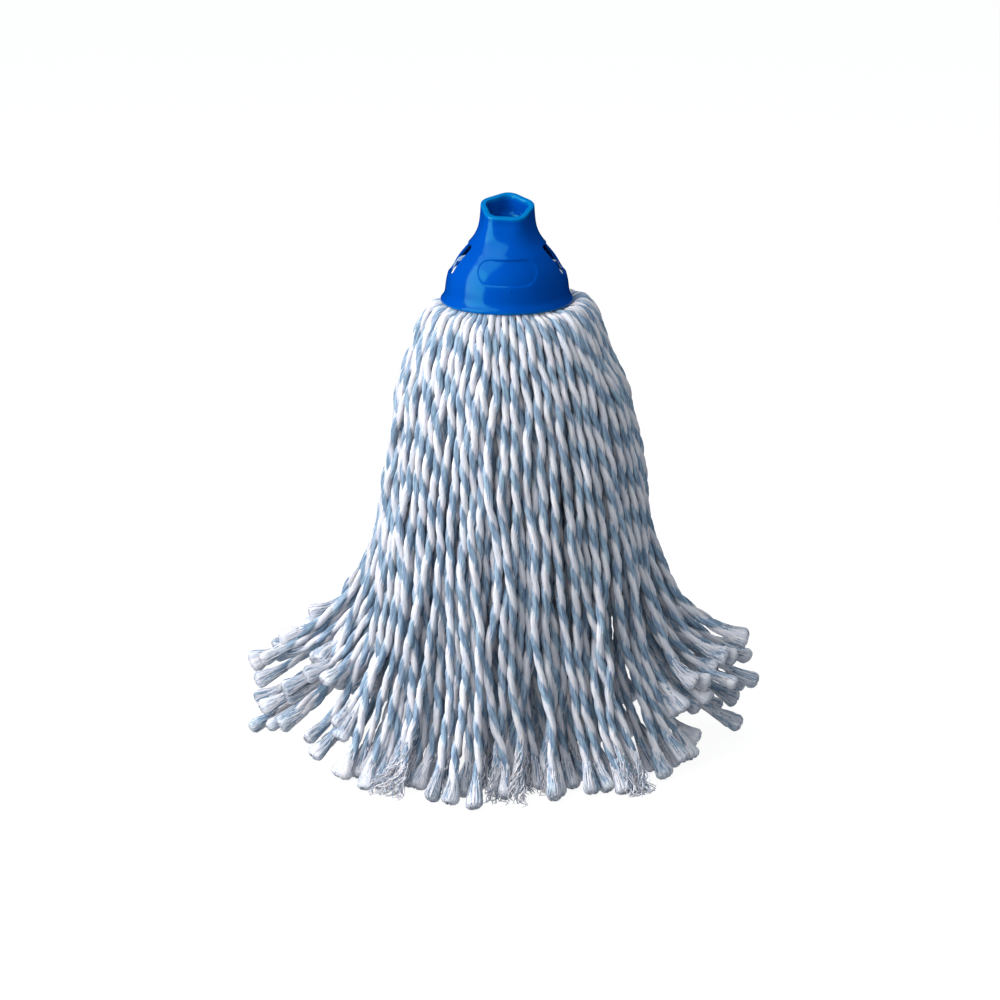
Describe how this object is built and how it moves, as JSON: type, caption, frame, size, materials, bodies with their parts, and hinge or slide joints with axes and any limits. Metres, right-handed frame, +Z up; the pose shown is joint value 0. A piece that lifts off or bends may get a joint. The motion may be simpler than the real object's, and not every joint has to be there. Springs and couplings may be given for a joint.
{
  "type": "mop head",
  "caption": "Refill head of a string mop: a plastic bell with a five-sided neck and a threaded handle socket, above a splayed skirt of two-tone twisted yarn strands.",
  "frame": {"origin": "on the floor under the socket's axis, at the centre of the yarn's foot", "axes": "+Z up along the socket's axis and out of the handle opening, -Y towards the badge side, windows at +X and -X"},
  "size_m": [0.308, 0.2382, 0.3351],
  "materials": {
    "socket_plastic": "glossy moulded polypropylene",
    "retainer_plastic": "semi-gloss moulded polypropylene",
    "yarn": "soft two-ply yarn, one white ply and one blue ply"
  },
  "bodies": {
    "root": {"socket_bell": "socket_plastic", "yarn_retainer": "retainer_plastic", "yarn_crown": "yarn", "yarn_core_01": "yarn", "yarn_core_02": "yarn", "yarn_core_03": "yarn", "yarn_core_04": "yarn", "yarn_core_05": "yarn", "yarn_core_06": "yarn"},
    "yarn_bundle_01": {"yarn_bundle_01": "yarn"},
    "yarn_bundle_02": {"yarn_bundle_02": "yarn"},
    "yarn_bundle_03": {"yarn_bundle_03": "yarn"},
    "yarn_bundle_04": {"yarn_bundle_04": "yarn"},
    "yarn_bundle_05": {"yarn_bundle_05": "yarn"},
    "yarn_bundle_06": {"yarn_bundle_06": "yarn"},
    "yarn_bundle_07": {"yarn_bundle_07": "yarn"},
    "yarn_bundle_08": {"yarn_bundle_08": "yarn"},
    "yarn_bundle_09": {"yarn_bundle_09": "yarn"},
    "yarn_bundle_10": {"yarn_bundle_10": "yarn"},
    "yarn_bundle_11": {"yarn_bundle_11": "yarn"},
    "yarn_bundle_12": {"yarn_bundle_12": "yarn"},
    "yarn_bundle_13": {"yarn_bundle_13": "yarn"},
    "yarn_bundle_14": {"yarn_bundle_14": "yarn"},
    "yarn_bundle_15": {"yarn_bundle_15": "yarn"},
    "yarn_bundle_16": {"yarn_bundle_16": "yarn"}
  },
  "joints": [
    {"name": "bundle_01_swing", "type": "hinge", "parent": "root", "child": "yarn_bundle_01", "pos_m": [0.042, 0, 0.2734], "axis": [0, -1, 0], "range_deg": [0, 60]},
    {"name": "bundle_02_swing", "type": "hinge", "parent": "root", "child": "yarn_bundle_02", "pos_m": [0.0388, 0.01607, 0.2734], "axis": [0.3827, -0.9239, 0], "range_deg": [0, 60]},
    {"name": "bundle_03_swing", "type": "hinge", "parent": "root", "child": "yarn_bundle_03", "pos_m": [0.0297, 0.0297, 0.2734], "axis": [0.7071, -0.7071, 0], "range_deg": [0, 60]},
    {"name": "bundle_04_swing", "type": "hinge", "parent": "root", "child": "yarn_bundle_04", "pos_m": [0.01607, 0.0388, 0.2734], "axis": [0.9239, -0.3827, 0], "range_deg": [0, 60]},
    {"name": "bundle_05_swing", "type": "hinge", "parent": "root", "child": "yarn_bundle_05", "pos_m": [0, 0.042, 0.2734], "axis": [1, 0, 0], "range_deg": [0, 60]},
    {"name": "bundle_06_swing", "type": "hinge", "parent": "root", "child": "yarn_bundle_06", "pos_m": [-0.01607, 0.0388, 0.2734], "axis": [0.9239, 0.3827, 0], "range_deg": [0, 60]},
    {"name": "bundle_07_swing", "type": "hinge", "parent": "root", "child": "yarn_bundle_07", "pos_m": [-0.0297, 0.0297, 0.2734], "axis": [0.7071, 0.7071, 0], "range_deg": [0, 60]},
    {"name": "bundle_08_swing", "type": "hinge", "parent": "root", "child": "yarn_bundle_08", "pos_m": [-0.0388, 0.01607, 0.2734], "axis": [0.3827, 0.9239, 0], "range_deg": [0, 60]},
    {"name": "bundle_09_swing", "type": "hinge", "parent": "root", "child": "yarn_bundle_09", "pos_m": [-0.042, 0, 0.2734], "axis": [0, 1, 0], "range_deg": [0, 60]},
    {"name": "bundle_10_swing", "type": "hinge", "parent": "root", "child": "yarn_bundle_10", "pos_m": [-0.0388, -0.01607, 0.2734], "axis": [-0.3827, 0.9239, 0], "range_deg": [0, 60]},
    {"name": "bundle_11_swing", "type": "hinge", "parent": "root", "child": "yarn_bundle_11", "pos_m": [-0.0297, -0.0297, 0.2734], "axis": [-0.7071, 0.7071, 0], "range_deg": [0, 60]},
    {"name": "bundle_12_swing", "type": "hinge", "parent": "root", "child": "yarn_bundle_12", "pos_m": [-0.01607, -0.0388, 0.2734], "axis": [-0.9239, 0.3827, 0], "range_deg": [0, 60]},
    {"name": "bundle_13_swing", "type": "hinge", "parent": "root", "child": "yarn_bundle_13", "pos_m": [0, -0.042, 0.2734], "axis": [-1, 0, 0], "range_deg": [0, 60]},
    {"name": "bundle_14_swing", "type": "hinge", "parent": "root", "child": "yarn_bundle_14", "pos_m": [0.01607, -0.0388, 0.2734], "axis": [-0.9239, -0.3827, 0], "range_deg": [0, 60]},
    {"name": "bundle_15_swing", "type": "hinge", "parent": "root", "child": "yarn_bundle_15", "pos_m": [0.0297, -0.0297, 0.2734], "axis": [-0.7071, -0.7071, 0], "range_deg": [0, 60]},
    {"name": "bundle_16_swing", "type": "hinge", "parent": "root", "child": "yarn_bundle_16", "pos_m": [0.0388, -0.01607, 0.2734], "axis": [-0.3827, -0.9239, 0], "range_deg": [0, 60]}
  ]
}
